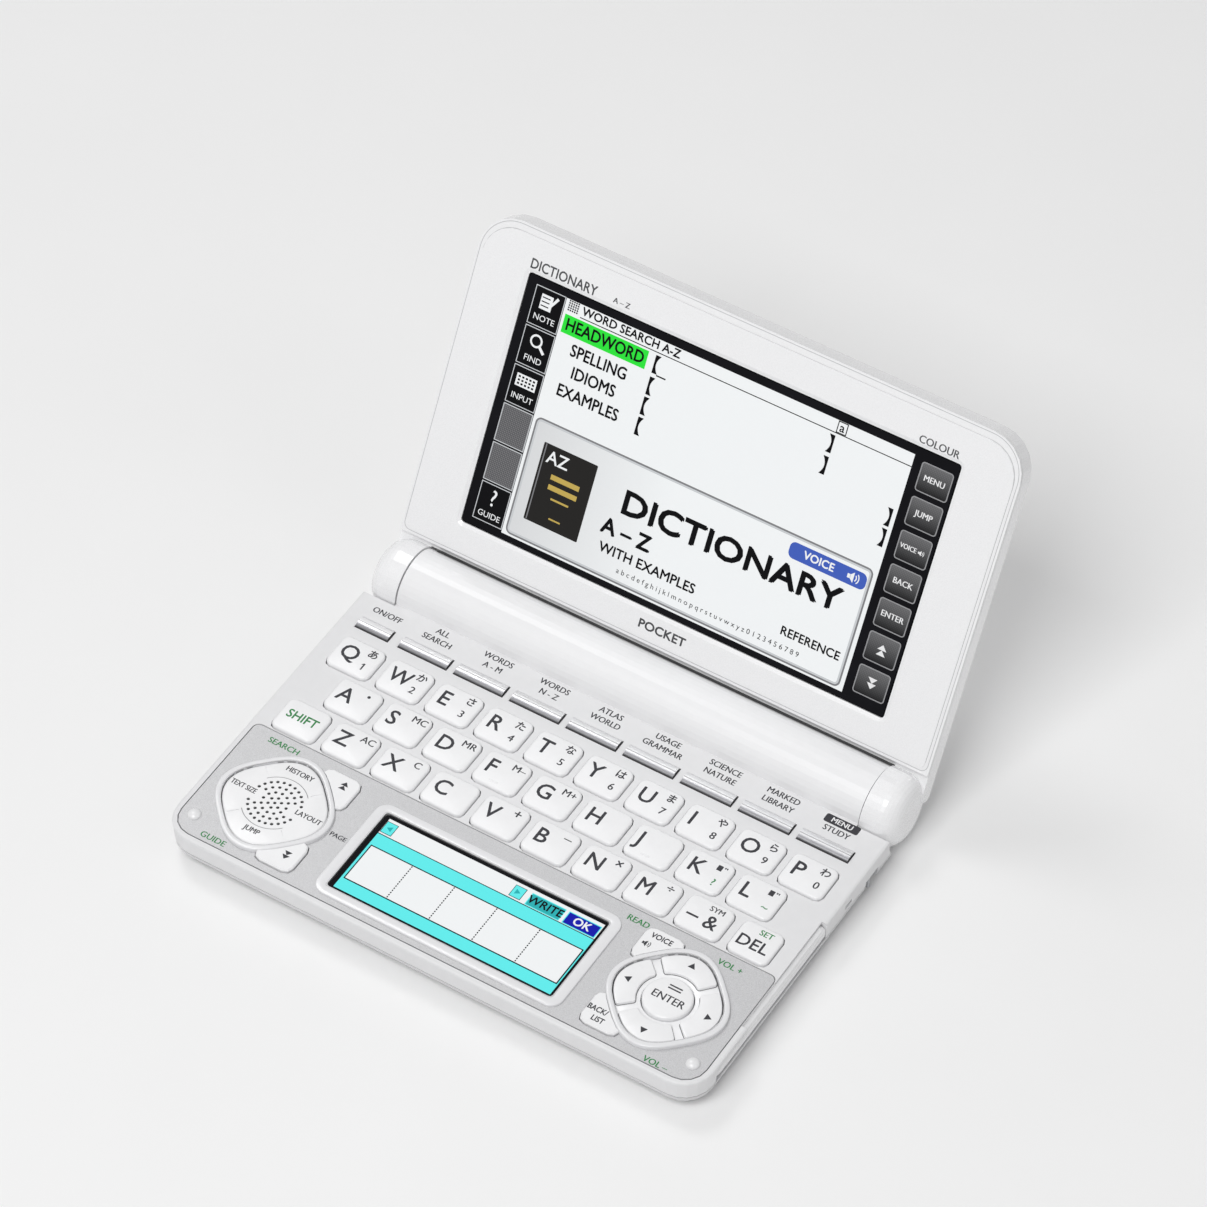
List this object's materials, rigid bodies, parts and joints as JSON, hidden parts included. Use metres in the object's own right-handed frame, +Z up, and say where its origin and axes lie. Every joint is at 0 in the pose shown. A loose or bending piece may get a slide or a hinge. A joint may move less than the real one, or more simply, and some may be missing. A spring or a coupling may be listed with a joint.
{
  "type": "pocket electronic dictionary",
  "caption": "Open pocket dictionary: letter keyboard, silver control panel with a writing display and round pads, and a display lid on a rear barrel hinge.",
  "frame": {"origin": "on the table under the feet, at the middle of the box round the device with its lid open as at rest", "axes": "+X along the hinge to the user's right, +Y away from the user, +Z up"},
  "size_m": [0.148, 0.1509, 0.0921],
  "materials": {
    "shell": "satin white case plastic",
    "lid_shell": "glossy pearl white",
    "keys": "smooth white key plastic",
    "function_keys": "satin chrome plating",
    "panel": "fine silver paint",
    "display": "black bordered display window",
    "board": "green solder mask",
    "sheet": "grey silicone",
    "speaker": "dark grey",
    "battery": "printed jacket",
    "pin": "turned steel",
    "stylus": "glossy white"
  },
  "bodies": {
    "base": {"lower_case": "shell", "upper_case": "shell", "control_panel": "panel", "sub_display": "display", "battery_left": "battery", "battery_right": "battery", "main_board": "board", "key_sheet": "sheet", "speaker": "speaker", "hinge_pin": "pin"},
    "lid": {"lid_back_cover": "lid_shell", "lid_front_frame": "lid_shell", "main_display": "display"},
    "battery_cover": {"battery_cover": "shell"},
    "stylus": {"stylus": "stylus"},
    "key_q": {"key_q": "keys"},
    "key_w": {"key_w": "keys"},
    "key_e": {"key_e": "keys"},
    "key_r": {"key_r": "keys"},
    "key_t": {"key_t": "keys"},
    "key_y": {"key_y": "keys"},
    "key_u": {"key_u": "keys"},
    "key_i": {"key_i": "keys"},
    "key_o": {"key_o": "keys"},
    "key_p": {"key_p": "keys"},
    "key_a": {"key_a": "keys"},
    "key_s": {"key_s": "keys"},
    "key_d": {"key_d": "keys"},
    "key_f": {"key_f": "keys"},
    "key_g": {"key_g": "keys"},
    "key_h": {"key_h": "keys"},
    "key_j": {"key_j": "keys"},
    "key_k": {"key_k": "keys"},
    "key_l": {"key_l": "keys"},
    "key_shift": {"key_shift": "keys"},
    "key_z": {"key_z": "keys"},
    "key_x": {"key_x": "keys"},
    "key_c": {"key_c": "keys"},
    "key_v": {"key_v": "keys"},
    "key_b": {"key_b": "keys"},
    "key_n": {"key_n": "keys"},
    "key_m": {"key_m": "keys"},
    "key_symbol": {"key_symbol": "keys"},
    "key_delete": {"key_delete": "keys"},
    "power_key": {"power_key": "function_keys"},
    "function_key_1": {"function_key_1": "function_keys"},
    "function_key_2": {"function_key_2": "function_keys"},
    "function_key_3": {"function_key_3": "function_keys"},
    "function_key_4": {"function_key_4": "function_keys"},
    "function_key_5": {"function_key_5": "function_keys"},
    "function_key_6": {"function_key_6": "function_keys"},
    "function_key_7": {"function_key_7": "function_keys"},
    "function_key_8": {"function_key_8": "function_keys"},
    "page_up_key": {"page_up_key": "keys"},
    "page_down_key": {"page_down_key": "keys"},
    "voice_key": {"voice_key": "keys"},
    "back_key": {"back_key": "keys"},
    "dial_plate": {"dial_plate": "keys"},
    "cursor_pad": {"cursor_pad": "keys"},
    "enter_key": {"enter_key": "keys"}
  },
  "joints": [
    {"name": "lid_hinge", "type": "hinge", "parent": "base", "child": "lid", "pos_m": [0, 0.02055, 0.0097], "axis": [1, 0, 0], "range_deg": [-30.5, 119.5]},
    {"name": "key_q_press", "type": "slide", "parent": "base", "child": "key_q", "axis": [0, 0, -1], "range_m": [0, 0.0005], "stiffness_N_per_m": 300, "springref_m": -0.0012},
    {"name": "key_w_press", "type": "slide", "parent": "base", "child": "key_w", "axis": [0, 0, -1], "range_m": [0, 0.0005], "stiffness_N_per_m": 300, "springref_m": -0.0012},
    {"name": "key_e_press", "type": "slide", "parent": "base", "child": "key_e", "axis": [0, 0, -1], "range_m": [0, 0.0005], "stiffness_N_per_m": 300, "springref_m": -0.0012},
    {"name": "key_r_press", "type": "slide", "parent": "base", "child": "key_r", "axis": [0, 0, -1], "range_m": [0, 0.0005], "stiffness_N_per_m": 300, "springref_m": -0.0012},
    {"name": "key_t_press", "type": "slide", "parent": "base", "child": "key_t", "axis": [0, 0, -1], "range_m": [0, 0.0005], "stiffness_N_per_m": 300, "springref_m": -0.0012},
    {"name": "key_y_press", "type": "slide", "parent": "base", "child": "key_y", "axis": [0, 0, -1], "range_m": [0, 0.0005], "stiffness_N_per_m": 300, "springref_m": -0.0012},
    {"name": "key_u_press", "type": "slide", "parent": "base", "child": "key_u", "axis": [0, 0, -1], "range_m": [0, 0.0005], "stiffness_N_per_m": 300, "springref_m": -0.0012},
    {"name": "key_i_press", "type": "slide", "parent": "base", "child": "key_i", "axis": [0, 0, -1], "range_m": [0, 0.0005], "stiffness_N_per_m": 300, "springref_m": -0.0012},
    {"name": "key_o_press", "type": "slide", "parent": "base", "child": "key_o", "axis": [0, 0, -1], "range_m": [0, 0.0005], "stiffness_N_per_m": 300, "springref_m": -0.0012},
    {"name": "key_p_press", "type": "slide", "parent": "base", "child": "key_p", "axis": [0, 0, -1], "range_m": [0, 0.0005], "stiffness_N_per_m": 300, "springref_m": -0.0012},
    {"name": "key_a_press", "type": "slide", "parent": "base", "child": "key_a", "axis": [0, 0, -1], "range_m": [0, 0.0005], "stiffness_N_per_m": 300, "springref_m": -0.0012},
    {"name": "key_s_press", "type": "slide", "parent": "base", "child": "key_s", "axis": [0, 0, -1], "range_m": [0, 0.0005], "stiffness_N_per_m": 300, "springref_m": -0.0012},
    {"name": "key_d_press", "type": "slide", "parent": "base", "child": "key_d", "axis": [0, 0, -1], "range_m": [0, 0.0005], "stiffness_N_per_m": 300, "springref_m": -0.0012},
    {"name": "key_f_press", "type": "slide", "parent": "base", "child": "key_f", "axis": [0, 0, -1], "range_m": [0, 0.0005], "stiffness_N_per_m": 300, "springref_m": -0.0012},
    {"name": "key_g_press", "type": "slide", "parent": "base", "child": "key_g", "axis": [0, 0, -1], "range_m": [0, 0.0005], "stiffness_N_per_m": 300, "springref_m": -0.0012},
    {"name": "key_h_press", "type": "slide", "parent": "base", "child": "key_h", "axis": [0, 0, -1], "range_m": [0, 0.0005], "stiffness_N_per_m": 300, "springref_m": -0.0012},
    {"name": "key_j_press", "type": "slide", "parent": "base", "child": "key_j", "axis": [0, 0, -1], "range_m": [0, 0.0005], "stiffness_N_per_m": 300, "springref_m": -0.0012},
    {"name": "key_k_press", "type": "slide", "parent": "base", "child": "key_k", "axis": [0, 0, -1], "range_m": [0, 0.0005], "stiffness_N_per_m": 300, "springref_m": -0.0012},
    {"name": "key_l_press", "type": "slide", "parent": "base", "child": "key_l", "axis": [0, 0, -1], "range_m": [0, 0.0005], "stiffness_N_per_m": 300, "springref_m": -0.0012},
    {"name": "key_shift_press", "type": "slide", "parent": "base", "child": "key_shift", "axis": [0, 0, -1], "range_m": [0, 0.0005], "stiffness_N_per_m": 300, "springref_m": -0.0012},
    {"name": "key_z_press", "type": "slide", "parent": "base", "child": "key_z", "axis": [0, 0, -1], "range_m": [0, 0.0005], "stiffness_N_per_m": 300, "springref_m": -0.0012},
    {"name": "key_x_press", "type": "slide", "parent": "base", "child": "key_x", "axis": [0, 0, -1], "range_m": [0, 0.0005], "stiffness_N_per_m": 300, "springref_m": -0.0012},
    {"name": "key_c_press", "type": "slide", "parent": "base", "child": "key_c", "axis": [0, 0, -1], "range_m": [0, 0.0005], "stiffness_N_per_m": 300, "springref_m": -0.0012},
    {"name": "key_v_press", "type": "slide", "parent": "base", "child": "key_v", "axis": [0, 0, -1], "range_m": [0, 0.0005], "stiffness_N_per_m": 300, "springref_m": -0.0012},
    {"name": "key_b_press", "type": "slide", "parent": "base", "child": "key_b", "axis": [0, 0, -1], "range_m": [0, 0.0005], "stiffness_N_per_m": 300, "springref_m": -0.0012},
    {"name": "key_n_press", "type": "slide", "parent": "base", "child": "key_n", "axis": [0, 0, -1], "range_m": [0, 0.0005], "stiffness_N_per_m": 300, "springref_m": -0.0012},
    {"name": "key_m_press", "type": "slide", "parent": "base", "child": "key_m", "axis": [0, 0, -1], "range_m": [0, 0.0005], "stiffness_N_per_m": 300, "springref_m": -0.0012},
    {"name": "key_symbol_press", "type": "slide", "parent": "base", "child": "key_symbol", "axis": [0, 0, -1], "range_m": [0, 0.0005], "stiffness_N_per_m": 300, "springref_m": -0.0012},
    {"name": "key_delete_press", "type": "slide", "parent": "base", "child": "key_delete", "axis": [0, 0, -1], "range_m": [0, 0.0005], "stiffness_N_per_m": 300, "springref_m": -0.0012},
    {"name": "power_key_press", "type": "slide", "parent": "base", "child": "power_key", "axis": [0, 0, -1], "range_m": [0, 0.0005], "stiffness_N_per_m": 300, "springref_m": -0.0012},
    {"name": "function_key_1_press", "type": "slide", "parent": "base", "child": "function_key_1", "axis": [0, 0, -1], "range_m": [0, 0.0005], "stiffness_N_per_m": 300, "springref_m": -0.0012},
    {"name": "function_key_2_press", "type": "slide", "parent": "base", "child": "function_key_2", "axis": [0, 0, -1], "range_m": [0, 0.0005], "stiffness_N_per_m": 300, "springref_m": -0.0012},
    {"name": "function_key_3_press", "type": "slide", "parent": "base", "child": "function_key_3", "axis": [0, 0, -1], "range_m": [0, 0.0005], "stiffness_N_per_m": 300, "springref_m": -0.0012},
    {"name": "function_key_4_press", "type": "slide", "parent": "base", "child": "function_key_4", "axis": [0, 0, -1], "range_m": [0, 0.0005], "stiffness_N_per_m": 300, "springref_m": -0.0012},
    {"name": "function_key_5_press", "type": "slide", "parent": "base", "child": "function_key_5", "axis": [0, 0, -1], "range_m": [0, 0.0005], "stiffness_N_per_m": 300, "springref_m": -0.0012},
    {"name": "function_key_6_press", "type": "slide", "parent": "base", "child": "function_key_6", "axis": [0, 0, -1], "range_m": [0, 0.0005], "stiffness_N_per_m": 300, "springref_m": -0.0012},
    {"name": "function_key_7_press", "type": "slide", "parent": "base", "child": "function_key_7", "axis": [0, 0, -1], "range_m": [0, 0.0005], "stiffness_N_per_m": 300, "springref_m": -0.0012},
    {"name": "function_key_8_press", "type": "slide", "parent": "base", "child": "function_key_8", "axis": [0, 0, -1], "range_m": [0, 0.0005], "stiffness_N_per_m": 300, "springref_m": -0.0012},
    {"name": "page_up_key_press", "type": "slide", "parent": "base", "child": "page_up_key", "axis": [0, 0, -1], "range_m": [0, 0.0005], "stiffness_N_per_m": 300, "springref_m": -0.0012},
    {"name": "page_down_key_press", "type": "slide", "parent": "base", "child": "page_down_key", "axis": [0, 0, -1], "range_m": [0, 0.0005], "stiffness_N_per_m": 300, "springref_m": -0.0012},
    {"name": "voice_key_press", "type": "slide", "parent": "base", "child": "voice_key", "axis": [0, 0, -1], "range_m": [0, 0.0005], "stiffness_N_per_m": 300, "springref_m": -0.0012},
    {"name": "back_key_press", "type": "slide", "parent": "base", "child": "back_key", "axis": [0, 0, -1], "range_m": [0, 0.0005], "stiffness_N_per_m": 300, "springref_m": -0.0012},
    {"name": "dial_plate_press", "type": "slide", "parent": "base", "child": "dial_plate", "axis": [0, 0, -1], "range_m": [0, 0.0005], "stiffness_N_per_m": 300, "springref_m": -0.0012},
    {"name": "cursor_pad_press", "type": "slide", "parent": "base", "child": "cursor_pad", "axis": [0, 0, -1], "range_m": [0, 0.0005], "stiffness_N_per_m": 300, "springref_m": -0.0012},
    {"name": "enter_key_press", "type": "slide", "parent": "base", "child": "enter_key", "axis": [0, 0, -1], "range_m": [0, 0.0005], "stiffness_N_per_m": 300, "springref_m": -0.0012},
    {"name": "battery_cover_slide", "type": "slide", "parent": "base", "child": "battery_cover", "axis": [0, 0, -1], "range_m": [0, 0.012]},
    {"name": "stylus_slide", "type": "slide", "parent": "base", "child": "stylus", "axis": [1, 0, 0], "range_m": [0, 0.012]}
  ]
}
